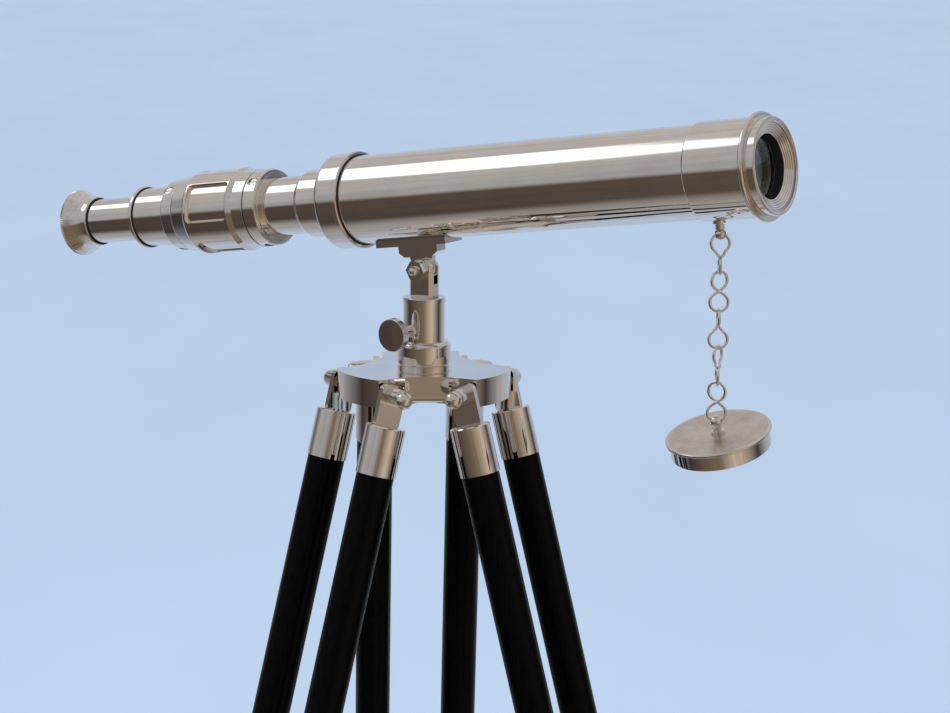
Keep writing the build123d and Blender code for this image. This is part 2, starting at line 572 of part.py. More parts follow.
upright_loop = Rot(X=90) * Torus(LOOP_R, WIRE_R)
for index, (turn, twist) in enumerate(zip(LINK_TURNS, LINK_TWISTS)):
    top = ball_centre - Vector(0, 0, index * LINK_PITCH)
    upper = Pos(0, 0, -LOOP_R) * upright_loop
    lower = Pos(0, 0, LOOP_R - LINK_LENGTH) * Rot(Z=twist) * upright_loop
    waist = Pos(0, 0, -LINK_LENGTH / 2) * Sphere(WIRE_R * 1.5)
    nodes[f"chain_link_{index + 1}"] = Pos(*top) * Rot(Z=turn) * (upper + lower + waist)

knob_centre = ball_centre - Vector(0, 0, 4 * LINK_PITCH + LINK_LENGTH)
lid_turn = LINK_TURNS[-1] + LINK_TWISTS[-1]
lid_seat = Pos(*knob_centre) * Rot(Z=lid_turn)
lid_frame = lid_seat * Rot(X=LID_TILT) * Rot(Y=-LID_ROLL)
LID_UNDERCUT = 3.8        # down to here the skirt is turned wider inside, level with the knob's rivet
lid_outline = [
    (-LID_TOP_DROP, 2.0 + FIT), (-LID_TOP_DROP, LID_R), (-LID_TOP_DROP - 2.4, LID_R),
    (-LID_TOP_DROP - 2.4, LID_SKIRT_R), (-LID_TOP_DROP - LID_DEPTH, LID_SKIRT_R),
    (-LID_TOP_DROP - LID_DEPTH, LID_SKIRT_BORE_R), (-LID_TOP_DROP - LID_UNDERCUT, LID_SKIRT_BORE_R),
    (-LID_TOP_DROP - LID_UNDERCUT, LID_SKIRT_BORE_R + 0.5), (-LID_TOP_DROP - 2.2, LID_SKIRT_BORE_R + 0.5),
    (-LID_TOP_DROP - 2.2, 2.0 + FIT),
]
lid_rounds = (((-LID_TOP_DROP, LID_R), 0.9), ((-LID_TOP_DROP - 2.4, LID_R), 0.9))
nodes["lens_lid"] = lid_frame * Rot(Y=-90) * turned(lid_outline, lid_rounds)

knob = Sphere(LID_BALL_R) + rod(3.4, -LID_TOP_DROP + 1.6, -3.0) + rod(5.2, -LID_TOP_DROP, -LID_TOP_DROP + 1.8)
knob += rod(2.0, -LID_TOP_DROP - 3.0, -LID_TOP_DROP + 1)
knob += rod(4.0, -LID_TOP_DROP - 3.4, -LID_TOP_DROP - 2.25)
nodes["lid_knob"] = lid_frame * knob - lid_seat * cross_hole(LID_BALL_R + 0.6)

# ---- legs ------------------------------------------------------------------------------------
SOCKET_TOP = FERRULE_TOP + 5.0
TURNED_END_R = FERRULE_R - 1.9


def leg_rods():
    solids = []
    for side in (-1, 1):
        end = rod(TURNED_END_R, -SOCKET_TOP - FIT, -FERRULE_END - 1, y=side * ROD_OFFSET)
        solids.append(end + rod(ROD_R, -FERRULE_END - 0.1, -CLAMP_END + 4.1, y=side * ROD_OFFSET))
    return Compound(children=solids)


def leg_ferrules():
    solids = []
    for side in (-1, 1):
        cup = rod(FERRULE_R, -FERRULE_TOP, -FERRULE_END, y=side * ROD_OFFSET)
        cup = chamfer(cup.edges().group_by(Axis.Z)[-1], 0.8)
        cup -= rod(TURNED_END_R + FIT, -SOCKET_TOP, -FERRULE_END - 1, y=side * ROD_OFFSET)
        plate = Pos(0, 0, -8.0) * Rot(X=90) * extrude(RectangleRounded(TONGUE_WIDTH, 34.0, 5.0), 2.5, both=True)
        plate = Pos(0, side * (TONGUE_INNER + TONGUE_OUTER) / 2, 0) * plate
        plate &= Box(60, 2 * TONGUE_OUTER, 120) - Box(60, 2 * TONGUE_INNER, 120)
        hole = cross_rod(LEG_BOLT_R + RUN, -50, 50)
        solids.append(cup + plate - hole)
    return Compound(children=solids)


CLAMP_HALF_DEPTH = 18.0
CLAMP_SCREW_DROP = (CLAMP_TOP + CLAMP_END) / 2
BOSS_END = CLAMP_HALF_DEPTH + 7.0


def leg_clamp():
    outline = Rot(Z=90) * SlotOverall(2 * (ROD_OFFSET + CLAMP_HALF_DEPTH), 2 * CLAMP_HALF_DEPTH)
    body = Pos(0, 0, -CLAMP_END) * extrude(outline, CLAMP_END - CLAMP_TOP)
    body = fillet(body.edges().group_by(Axis.Z)[0] + body.edges().group_by(Axis.Z)[-1], 1.8)
    body += long_rod(7.0, 0, BOSS_END, z=-CLAMP_SCREW_DROP)
    for side in (-1, 1):
        body -= rod(ROD_R + FIT, -CLAMP_TOP + 1, -CLAMP_END + 4.0, y=side * ROD_OFFSET)
    body -= rod(LOWER_ROD_R + RUN, -CLAMP_TOP + 1, -CLAMP_END - 1)
    return body - long_rod(3.0 + RUN, 0, BOSS_END + 1, z=-CLAMP_SCREW_DROP)


def leg_clamp_screw():
    outline = [
        (LOWER_ROD_R + 0.2, 0), (LOWER_ROD_R + 0.2, 3.0), (BOSS_END + 0.6, 3.0), (BOSS_END + 0.6, 5.0),
        (BOSS_END + 5.0, 5.0), (BOSS_END + 5.0, 11.0), (BOSS_END + 12.0, 11.0), (BOSS_END + 12.0, 0),
    ]
    rounds = (((BOSS_END + 5.0, 11.0), 0.8), ((BOSS_END + 12.0, 11.0), 0.8))
    return Pos(0, 0, -CLAMP_SCREW_DROP) * turned(outline, rounds)


def leg_lower_rod():
    return rod(LOWER_ROD_R, -LOWER_ROD_TOP, -FOOT_CENTRE + 4.0)


def leg_foot():
    foot = rod(FOOT_R, -FOOT_CENTRE + 38.0, -FOOT_CENTRE) + Pos(0, 0, -FOOT_CENTRE) * Sphere(FOOT_R)
    foot = fillet(foot.edges().group_by(Axis.Z)[-1], 1.2)
    return foot - rod(LOWER_ROD_R + FIT, -FOOT_CENTRE + 4.0, -FOOT_CENTRE + 40.0)


for side_name, plan in LEG_HEADINGS.items():
    frame = leg_frame(plan)
    put(f"{side_name}_leg_rods", leg_rods(), frame)
    put(f"{side_name}_leg_ferrules", leg_ferrules(), frame)
    put(f"{side_name}_leg_clamp", leg_clamp(), frame)
    put(f"{side_name}_clamp_screw", leg_clamp_screw(), frame)
    put(f"{side_name}_lower_rod", leg_lower_rod(), frame)
    put(f"{side_name}_foot", leg_foot(), frame)

# ---- place the origin and write the files ----------------------------------------------------
footprint = Compound(children=[Compound(children=shape.solids()) for shape in nodes.values()]).bounding_box()
offset = Vector(-footprint.center().X, -footprint.center().Y, 0)
for name in nodes:
    nodes[name] = Pos(*offset) * nodes[name]
    solids = nodes[name].solids()
    export_step(solids[0] if len(solids) == 1 else Compound(children=solids), f"parts/{name}.step")
print("nodes", len(nodes), "origin offset", offset, "box", footprint.min, footprint.max)
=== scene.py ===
import json
import math

import bmesh
import bpy
from mathutils import Matrix, Vector


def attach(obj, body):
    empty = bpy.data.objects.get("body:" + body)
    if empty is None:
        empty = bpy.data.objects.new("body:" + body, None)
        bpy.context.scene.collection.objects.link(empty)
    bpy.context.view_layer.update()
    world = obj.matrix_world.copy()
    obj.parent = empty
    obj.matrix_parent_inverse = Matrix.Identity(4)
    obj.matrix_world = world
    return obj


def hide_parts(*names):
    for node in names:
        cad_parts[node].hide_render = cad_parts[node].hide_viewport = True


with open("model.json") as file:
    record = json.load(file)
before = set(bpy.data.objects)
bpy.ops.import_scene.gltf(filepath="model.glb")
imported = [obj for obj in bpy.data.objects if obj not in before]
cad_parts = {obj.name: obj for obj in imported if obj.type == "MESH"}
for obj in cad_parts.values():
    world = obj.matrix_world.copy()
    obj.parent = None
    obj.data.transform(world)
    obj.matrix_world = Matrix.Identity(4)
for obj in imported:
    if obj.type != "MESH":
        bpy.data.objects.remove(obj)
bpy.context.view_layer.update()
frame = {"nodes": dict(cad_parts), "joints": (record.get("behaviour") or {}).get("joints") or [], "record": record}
nodes = frame["nodes"]
joints = {joint["name"]: joint for joint in frame["joints"]}
mounts = {mount["name"]: mount for mount in frame["record"]["mounts"]}
collection = bpy.context.scene.collection

MM = 0.001
LEGS = ("right", "left", "back")

# ---- driving dimensions, in millimetres, as in the CAD model ---------------------------------
BARREL_R, BARREL_BORE_R = 35.0, 33.2
RIM_FRONT, FLANGE_FRONT, FLANGE_REAR = 304.7, 297.2, 293.6
SLEEVE_REAR, SLEEVE_R = 246.5, 36.8
FLANGE_R, FRONT_RING_R, OPENING_R = 40.2, 36.0, 23.4
CAP_FRONT, CAP_REAR, CAP_R, CAP_LIP_R = -58.4, -81.5, 37.7, 38.4
COLLAR_REAR, COLLAR_R = -108.5, 26.8
DRAW_R, DRAW_BORE_R = 23.4, 21.9
FOCUSER_FRONT, GRIP_FRONT, FOCUS_RING_R = -143.5, -155.7, 31.0
GRIP_R, POCKET_FRONT, POCKET_REAR, POCKET_FLOOR_R = 33.8, -172.2, -212.0, 31.0
SCREW_ANGLES = (42.0, -78.0, 162.0)        # from straight up, towards the right-hand side
HOUSING_REAR, GRIP_REAR, HOUSING_R = -242.2, -229.7, 28.9
RING_FRONT, RING_REAR, RING_R = -276.0, -279.2, 25.6
EYEPIECE_SLEEVE_R, EYE_TUBE_R = 24.0, 18.4
NECK_FRONT, CUP_REAR, CUP_R, EYE_HOLE_R = -330.0, -352.0, 27.5, 9.0
LENS_R, LENS_FRONT = 25.0, 291.0
WIRE_R, LOOP_R, LINK_GAP, WAIST_OVERLAP = 1.0, 7.6, 0.3, 0.6
LINK_TURNS = (-4.0, 26.0, 86.0, 56.0, -34.0)
LINK_TWISTS = (90.0, -30.0, -90.0, 30.0, 30.0)
LID_R, LID_SKIRT_R, LID_SKIRT_BORE_R, LID_DEPTH, LID_TOP_DROP = 39.9, 37.4, 36.4, 13.8, 8.6


# ---- places, from the frame's joints ---------------------------------------------------------
def joint_point(name):
    return Vector(joints[name]["pos_m"])


def joint_axis(name):
    return Vector(joints[name]["axis"]).normalized()


def placed(origin, x_axis, up):
    """Matrix at origin with X along x_axis and Z as near to up as it can be."""
    x_axis = x_axis.normalized()
    y_axis = up.cross(x_axis).normalized()
    z_axis = x_axis.cross(y_axis)
    matrix = Matrix((x_axis, y_axis, z_axis)).transposed().to_4x4()
    matrix.translation = origin
    return matrix


UP = Vector((0, 0, 1))
hub_top = joint_point("azimuth")
tube_axis = -joint_axis("draw_slide")
grip_point = joint_point("grip_turn")
level = Vector((tube_axis.x, tube_axis.y))
reach = (Vector(hub_top.xy) - Vector(grip_point.xy)).dot(level) / level.length_squared
tube_place = placed(grip_point + reach * tube_axis, tube_axis, UP)


# ---- procedural materials --------------------------------------------------------------------
class Graph:
    """Short names for building a material's nodes."""

    def __init__(self, name):
        self.material = bpy.data.materials.new(name)
        self.material.use_nodes = True
        self.tree = self.material.node_tree
        self.shader = self.tree.nodes["Principled BSDF"]

    def node(self, kind, inputs=(), **settings):
        made = self.tree.nodes.new(kind)
        for key, value in settings.items():
            setattr(made, key, value)
        for key, value in dict(inputs).items():
            self.put(made.inputs[key], value)
        return made

    def put(self, socket, value):
        if isinstance(value, bpy.types.NodeSocket):
            self.tree.links.new(value, socket)
        else:
            socket.default_value = value

    def set(self, **inputs):
        for key, value in inputs.items():
            self.put(self.shader.inputs[key.replace("_", " ")], value)

    def coordinates(self, stretch):
        place = self.node("ShaderNodeTexCoord").outputs["Object"]
        return self.node("ShaderNodeMapping", {"Vector": place, "Scale": stretch}).outputs["Vector"]

    def noise(self, stretch, scale, detail=4.0, roughness=0.55):
        inputs = {"Vector": self.coordinates(stretch), "Scale": scale}
        inputs.update({"Detail": detail, "Roughness": roughness})
        return self.node("ShaderNodeTexNoise", inputs).outputs["Fac"]

    def spread(self, value, low, high):
        """Maps the middle of a noise's range on to low to high."""
        inputs = {"Value": value, "From Min": 0.3, "From Max": 0.7, "To Min": low, "To Max": high}
        return self.node("ShaderNodeMapRange", inputs).outputs["Result"]

    def ramp(self, value, stops):
        made = self.node("ShaderNodeValToRGB", {"Fac": value})
        elements = made.color_ramp.elements
        while len(elements) < len(stops):
            elements.new(0.5)
        for element, (position, colour) in zip(elements, stops):
            element.position = position
            element.color = (*colour, 1.0)
        return made.outputs["Color"]

    def bump(self, height, strength, distance, below=None):
        inputs = {"Height": height, "Strength": strength, "Distance": distance}
        if below:
            inputs["Normal"] = below
        return self.node("ShaderNodeBump", inputs).outputs["Normal"]


def polished_metal(name, stretch, colour, roughness=0.035, lines=0.014):
    """Plated metal with fine polishing marks, which run across the stretched direction."""
    graph = Graph(name)
    marks = graph.noise(stretch, 900.0, detail=3.0)
    clouds = graph.noise((1, 1, 1), 35.0, detail=5.0)
    darker = tuple(0.93 * part for part in colour)
    graph.set(
        Metallic=1.0,
        Base_Color=graph.ramp(clouds, [(0.35, darker), (0.65, colour)]),
        Roughness=graph.spread(clouds, 0.8 * roughness, 1.35 * roughness),
        Normal=graph.bump(marks, lines, 0.0004),
    )
    return graph.material


NICKEL = (0.86, 0.815, 0.775)
turned_nickel = polished_metal("turned_nickel", (1.0, 0.02, 0.02), NICKEL)
upright_nickel = polished_metal("upright_nickel", (0.02, 0.02, 1.0), NICKEL)
plain_nickel = polished_metal("plain_nickel", (1.0, 1.0, 1.0), NICKEL, roughness=0.028, lines=0.008)
chain_nickel = polished_metal("chain_nickel", (1.0, 1.0, 1.0), (0.93, 0.92, 0.91), roughness=0.1, lines=0.01)
plain_brass = polished_metal("plain_brass", (1.0, 0.05, 0.05), (0.78, 0.6, 0.32), roughness=0.2)


def satin_metal():
    graph = Graph("satin_lid")
    rings = graph.noise((0.02, 0.02, 1.0), 1500.0, detail=4.0)
    stains = graph.noise((1, 1, 1), 60.0, detail=6.0, roughness=0.65)
    graph.set(
        Metallic=1.0,
        Base_Color=graph.ramp(stains, [(0.32, (0.60, 0.53, 0.48)), (0.68, (0.80, 0.74, 0.69))]),
        Roughness=graph.spread(stains, 0.2, 0.34),
        Normal=graph.bump(rings, 0.08, 0.0004),
    )
    return graph.material


# Black paint for the tube's inside and its baffles; also used as painted shade in the screw recesses and the
# seams.
def black_paint_and_shade():
    graph = Graph("black_paint_and_shade")
    grain = graph.noise((1, 1, 1), 800.0)
    graph.set(
        Base_Color=graph.ramp(grain, [(0.3, (0.006, 0.006, 0.007)), (0.7, (0.014, 0.014, 0.015))]),
        Roughness=graph.spread(grain, 0.5, 0.7),
        Normal=graph.bump(grain, 0.2, 0.0003),
    )
    return graph.material


def lacquered_wood():
    """Black lacquer over turned wood; the pores run along the rod."""
    graph = Graph("lacquered_wood")
    pores = graph.noise((1.0, 1.0, 0.03), 700.0, detail=6.0, roughness=0.7)
    waves = graph.noise((1.0, 1.0, 0.15), 40.0, detail=3.0)
    dust = graph.noise((1, 1, 1), 120.0, detail=5.0)
    fine = graph.bump(pores, 0.25, 0.0003)
    graph.set(
        Base_Color=graph.ramp(pores, [(0.3, (0.0005, 0.0005, 0.0006)), (0.72, (0.0032, 0.003, 0.003))]),
        Roughness=graph.spread(dust, 0.16, 0.3),
        Normal=graph.bump(waves, 0.25, 0.002, fine),
        Specular_IOR_Level=0.06,
    )
    return graph.material


def optical_glass():
    graph = Graph("optical_glass")
    haze = graph.noise((1, 1, 1), 90.0, detail=5.0)
    graph.set(
        Base_Color=(0.80, 0.80, 0.74, 1.0),
        Roughness=graph.spread(haze, 0.0, 0.03),
        Transmission_Weight=1.0,
        IOR=1.52,
    )
    return graph.material


def moulded_rubber():
    graph = Graph("moulded_rubber")
    grain = graph.noise((1, 1, 1), 500.0)
    graph.set(
        Base_Color=graph.ramp(grain, [(0.3, (0.014, 0.014, 0.014)), (0.7, (0.03, 0.03, 0.03))]),
        Roughness=graph.spread(grain, 0.55, 0.75),
        Normal=graph.bump(grain, 0.3, 0.0004),
    )
    return graph.material


SATIN, BLACK, WOOD = satin_metal(), black_paint_and_shade(), lacquered_wood()
GLASS, RUBBER = optical_glass(), moulded_rubber()


# ---- mesh building ---------------------------------------------------------------------------
def rounded(outline, steps=6):
    """Outline of (station, radius, corner radius) with its corners turned into arcs."""
    points = []
    count = len(outline)
    for index, corner in enumerate(outline):
        here = Vector(corner[:2])
        size = corner[2] if len(corner) > 2 else 0.0
        if size <= 0:
            points.append(here)
            continue
        before = (Vector(outline[index - 1][:2]) - here).normalized()
        after = (Vector(outline[(index + 1) % count][:2]) - here).normalized()
        half = math.acos(max(-1.0, min(1.0, before.dot(after)))) / 2
        centre = here + (before + after).normalized() * size / math.sin(half)
        start = here + before * size / math.tan(half) - centre
        end = here + after * size / math.tan(half) - centre
        turn = start.angle_signed(end)
        for step in range(steps + 1):
            points.append(centre + Matrix.Rotation(-turn * step / steps, 2) @ start)
    return points


def shade(mesh, angle=32.0):
    mesh.shade_smooth()
    mesh.set_sharp_from_angle(angle=math.radians(angle))


def weigh_normals(piece):
    modifier = piece.modifiers.new("flat faces stay flat", "WEIGHTED_NORMAL")
    modifier.keep_sharp = True
    modifier.weight = 100


def finish(piece, place, body, *materials):
    piece.matrix_world = place
    for material in materials:
        piece.data.materials.append(material)
    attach(piece, body)
    return piece


def new_piece(name, work):
    mesh = bpy.data.meshes.new(name)
    bmesh.ops.recalc_face_normals(work, faces=work.faces)
    work.to_mesh(mesh)
    work.free()
    shade(mesh)
    piece = bpy.data.objects.new(name, mesh)
    collection.objects.link(piece)
    weigh_normals(piece)
    return piece


def lathe(work, outline, segments=160, upright=False, knurl=None, inner=None, steps=6):
    """Adds a closed turned solid to work. It turns about X, or about Z if upright.

    knurl is (ridges, depth, from, to): the radius ripples between those two stations.
    inner is (from, to, radius): faces between those stations and under that radius are material 1.
    """
    points = rounded(outline, steps)
    rings = []
    for station, radius in points:
        ring = []
        for index in range(segments if radius > 1e-6 else 1):
            angle = 2 * math.pi * index / segments
            size = radius
            if knurl and knurl[2] - 1e-6 <= station <= knurl[3] + 1e-6:
                size += knurl[1] * (math.cos(knurl[0] * angle) - 1) / 2
            side, rise = size * math.cos(angle) * MM, size * math.sin(angle) * MM
            along = station * MM
            ring.append(work.verts.new((side, rise, along) if upright else (along, side, rise)))
        rings.append(ring)
    for index, ring in enumerate(rings):
        following = rings[(index + 1) % len(rings)]
        if len(ring) == 1 and len(following) == 1:
            continue
        middle = (points[index] + points[(index + 1) % len(points)]) / 2
        for step in range(segments):
            corners = [
                ring[step % len(ring)], ring[(step + 1) % len(ring)],
                following[(step + 1) % len(following)], following[step % len(following)],
            ]
            face = work.faces.new(list(dict.fromkeys(corners)))
            if inner and inner[0] <= middle.x <= inner[1] and middle.y < inner[2]:
                face.material_index = 1
    return work


def turned_piece(name, body, outline, replaced=(), material=turned_nickel, place=tube_place, **options):
    piece = new_piece(name, lathe(bmesh.new(), outline, **options))
    materials = [material, BLACK] if options.get("inner") else [material]
    finish(piece, place, body, *materials)
    for node in replaced:
        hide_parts(node)
    return piece


# ---- CAD nodes get their materials -----------------------------------------------------------
def node_material(name):
    if name.endswith("_rods") or name.endswith("_lower_rod"):
        return WOOD
    if name.endswith("_foot"):
        return RUBBER
    if name in ("crown_lens", "flint_lens", "eye_lens", "field_lens"):
        return GLASS
    if name in ("barrel_baffles", "eyepiece_spacer", "eyepiece_retaining_ring"):
        return BLACK
    if name == "draw_guide_bush":
        return plain_brass
    if name == "lens_lid":
        return SATIN
    return plain_nickel


for name, node in nodes.items():
    node.data.materials.clear()
    node.data.materials.append(node_material(name))


# ---- turned pieces of the telescope ----------------------------------------------------------
def cup_outline():
    """Eye cup: a trumpet with a knurled rim and a dished face round the eye hole."""
    flare = [(NECK_FRONT - 4.0 - 14.2 * t, 20.6 + 6.3 * t ** 1.6) for t in (0.0, 0.2, 0.4, 0.6, 0.8, 1.0)]
    dish = [
        (CUP_REAR + 5.2 * math.sin(math.pi / 2 * t), CUP_R - 1.4 - 17.1 * t)
        for t in (0.05, 0.3, 0.6, 0.8, 1.0)
    ]
    return (
        [(NECK_FRONT, EYE_TUBE_R + 0.02), (NECK_FRONT, 20.0, 0.4), (NECK_FRONT - 1.2, 20.6, 0.3)]
        + flare
        + [(CUP_REAR + 2.7, CUP_R - 0.3, 0.2), (CUP_REAR + 2.6, CUP_R)]
        + [(CUP_REAR + 0.6, CUP_R), (CUP_REAR, CUP_R - 0.8, 0.2)]
        + dish
        + [(CUP_REAR + 6.4, EYE_HOLE_R), (CUP_REAR + 6.4, 15.0)]
        + [(CUP_REAR + 10.9, 15.0), (CUP_REAR + 10.9, EYE_TUBE_R + 0.02)]
    )


turned_piece(
    "eye_cup_turned", "eyepiece", cup_outline(), ["eye_cup"], segments=480,
    knurl=(96, 0.55, CUP_REAR + 0.5, CUP_REAR + 2.65),
)
turned_piece(
    "eyepiece_sleeve_turned", "eyepiece",
    [
        (RING_REAR, EYE_TUBE_R + 0.02), (RING_FRONT, EYE_TUBE_R + 0.02), (RING_FRONT, 22.6), (-212.0, 22.6),
        (-212.0, EYEPIECE_SLEEVE_R), (RING_FRONT, EYEPIECE_SLEEVE_R), (RING_FRONT, RING_R, 0.9),
        (RING_REAR, RING_R, 0.9), (RING_REAR, 20.4, 0.3), (RING_REAR + 0.5, 19.8),
    ],
    ["eyepiece_sleeve"],
)
turned_piece(
    "main_barrel_turned", "telescope",
    [
        (CAP_REAR + 3.5, BARREL_BORE_R), (FLANGE_REAR - 0.1, BARREL_BORE_R), (FLANGE_REAR - 0.1, BARREL_R),
        (SLEEVE_REAR + 4, BARREL_R), (SLEEVE_REAR + 2, BARREL_R), (CAP_FRONT - 2, BARREL_R),
        (CAP_FRONT - 4, BARREL_R), (CAP_REAR + 3.5, BARREL_R),
    ],
    ["main_barrel"], segments=256, inner=(CAP_REAR, FLANGE_REAR, BARREL_BORE_R + 0.5),
)
turned_piece(
    "objective_sleeve_turned", "telescope",
    [
        (SLEEVE_REAR, BARREL_R + 0.02), (FLANGE_REAR - 0.1, BARREL_R + 0.02), (FLANGE_REAR - 0.1, SLEEVE_R),
        (SLEEVE_REAR + 4, SLEEVE_R), (SLEEVE_REAR + 1.3, SLEEVE_R, 0.5), (SLEEVE_REAR, SLEEVE_R - 0.9, 0.3),
    ],
    ["objective_sleeve"], segments=256,
)
turned_piece(
    "rear_cap_turned", "telescope",
    [
        (CAP_FRONT - 0.9, BARREL_R + 0.02), (CAP_FRONT, BARREL_R + 0.9, 0.3), (CAP_FRONT, CAP_LIP_R, 0.9),
        (CAP_FRONT - 3.0, CAP_LIP_R, 0.5), (CAP_FRONT - 3.4, CAP_R, 0.2), (CAP_REAR + 5, CAP_R),
        (CAP_REAR, CAP_R, 4.4), (CAP_REAR, 26.9), (CAP_REAR + 0.5, 26.85), (CAP_REAR + 0.5, 25.42),
        (CAP_REAR + 3.4, 25.42), (CAP_REAR + 3.4, BARREL_R + 0.02),
    ],
    ["rear_cap"], segments=256,
)
turned_piece(
    "rear_collar_turned", "telescope",
    [
        (COLLAR_REAR, 23.9), (COLLAR_REAR + 4, 23.9), (COLLAR_REAR + 4, 24.9), (CAP_REAR + 3.4, 24.9),
        (CAP_REAR + 3.4, 25.4), (CAP_REAR - 0.05, 25.4), (CAP_REAR - 0.05, COLLAR_R),
        (CAP_REAR - 4, COLLAR_R),
        (COLLAR_REAR + 3.2, COLLAR_R, 1.2), (COLLAR_REAR + 1.4, 25.6, 0.8), (COLLAR_REAR, 25.2, 0.5),
    ],
    ["rear_collar"],
)
turned_piece(
    "draw_tube_turned", "draw",
    [
        (GRIP_FRONT + 1, DRAW_BORE_R), (40.0, DRAW_BORE_R), (40.0, 32.6, 0.3), (34.0, 32.6, 0.3),
        (34.0, DRAW_R),
        (-80.0, DRAW_R), (GRIP_FRONT + 1, DRAW_R),
    ],
    ["draw_tube"], inner=(GRIP_FRONT, 41.0, DRAW_BORE_R + 0.5),
)


def objective_steps():
    """Face of the retaining ring: turned steps, each rounded over, down from the rim to the opening."""
    points = []
    count, outer, depth = 5, 31.4, 0.9
    width = (outer - OPENING_R) / count
    for index in range(count):
        radius = outer - index * width - 0.02
        station = RIM_FRONT - 1.3 - index * depth
        points.append((station - 0.25, radius, 0.05))
        for part in (0.12, 0.3, 0.5, 0.7, 0.88):
            turn = math.pi / 2 * part
            drop = 0.25 + (width - 0.45) * math.sin(turn)
            points.append((station - depth * (1 - math.cos(turn)), radius - drop))
        points.append((station - depth, radius - width + 0.12))
    return points


turned_piece(
    "objective_cell_turned", "telescope",
    [
        (LENS_FRONT - 16, 22.5), (LENS_FRONT - 12, 22.5), (LENS_FRONT - 12, LENS_R + 0.1),
        (LENS_FRONT + 0.2, LENS_R + 0.1), (LENS_FRONT + 0.2, 31.5), (RIM_FRONT - 1.2, 31.5, 0.2),
        (RIM_FRONT - 0.9, 33.6, 0.3), (RIM_FRONT, 34.1, 0.3), (RIM_FRONT, FRONT_RING_R, 1.0),
        (FLANGE_FRONT + 1.2, FRONT_RING_R), (FLANGE_FRONT + 0.5, FRONT_RING_R - 0.7, 0.2),
        (FLANGE_FRONT, FRONT_RING_R + 0.6, 0.2), (FLANGE_FRONT, FLANGE_R, 1.5), (FLANGE_REAR, FLANGE_R, 1.5),
        (FLANGE_REAR, BARREL_BORE_R - 0.1), (LENS_FRONT - 16, BARREL_BORE_R - 0.1),
    ],
    ["objective_cell"], segments=256, inner=(LENS_FRONT - 17, LENS_FRONT + 0.5, 31.7),
)
turned_piece(
    "objective_retaining_ring_turned", "telescope",
    objective_steps()
    + [
        (LENS_FRONT + 0.4, OPENING_R), (LENS_FRONT + 0.4, 24.2), (LENS_FRONT - 0.6, 24.2),
        (LENS_FRONT - 0.6, 25.0),
        (LENS_FRONT + 6.0, 25.0), (LENS_FRONT + 6.0, 31.4),
    ],
    ["objective_retaining_ring"], segments=256, inner=(LENS_FRONT - 1, RIM_FRONT - 6.4, OPENING_R + 0.3),
)


def grip_wall(station, angle):
    """How deep a point of the grip is in a pocket, from 0 outside to 1 on its floor."""
    phase, half_width, corner = 71.5, 16.15, 3.2
    middle, half_length = (POCKET_FRONT + POCKET_REAR) / 2, (POCKET_FRONT - POCKET_REAR) / 2
    nearest = (angle - phase + 45.0) % 90.0 - 45.0
    across = abs(math.radians(nearest) * GRIP_R) - half_width + corner
    along = abs(station - middle) - half_length + corner
    outside = math.hypot(max(across, 0), max(along, 0)) + min(max(across, along), 0) - corner
    part = min(max((0.5 - outside) / 1.0, 0.0), 1.0)
    return part * part * (3 - 2 * part)


def grip_piece():
    """Focusing grip: a band at each end, a slope up to the grip's full size, and four pockets."""
    step, columns = 0.42, 560
    rows = round((POCKET_FRONT - POCKET_REAR + 2.4) / step)
    profile = [
        (GRIP_FRONT - 0.05, 27.1), (GRIP_FRONT - 0.05, 30.9), (GRIP_FRONT - 0.25, 31.4),
        (GRIP_FRONT - 0.7, 31.65),
        (-166.2, 31.9), (-166.6, 31.98), (-170.7, GRIP_R - 0.12), (-171.1, GRIP_R),
    ]
    profile += [(POCKET_FRONT + 1.2 - step * row, GRIP_R) for row in range(rows + 1)]
    profile += [
        (-214.0, GRIP_R), (-214.5, GRIP_R - 0.15), (-214.9, GRIP_R - 0.5), (-216.2, 32.4), (-216.6, 32.2),
        (GRIP_REAR + 0.9, 30.35), (GRIP_REAR + 0.3, 30.1), (GRIP_REAR, 29.6), (GRIP_REAR, 27.1),
    ]
    made = bmesh.new()
    rings = []
    for station, radius in profile:
        ring = []
        for column in range(columns):
            angle = 360.0 * column / columns
            local = radius
            if radius == GRIP_R:
                local -= grip_wall(station, angle) * (GRIP_R - POCKET_FLOOR_R)
            turn = math.radians(angle)
            corner = (station * MM, -local * math.sin(turn) * MM, local * math.cos(turn) * MM)
            ring.append(made.verts.new(corner))
        rings.append(ring)
    for first, second in zip(rings, rings[1:] + rings[:1]):
        for column in range(columns):
            after = (column + 1) % columns
            made.faces.new((first[column], first[after], second[after], second[column]))
    piece = finish(new_piece("focus_grip_turned", made), tube_place, "grip", turned_nickel)
    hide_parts("focus_grip")


grip_piece()


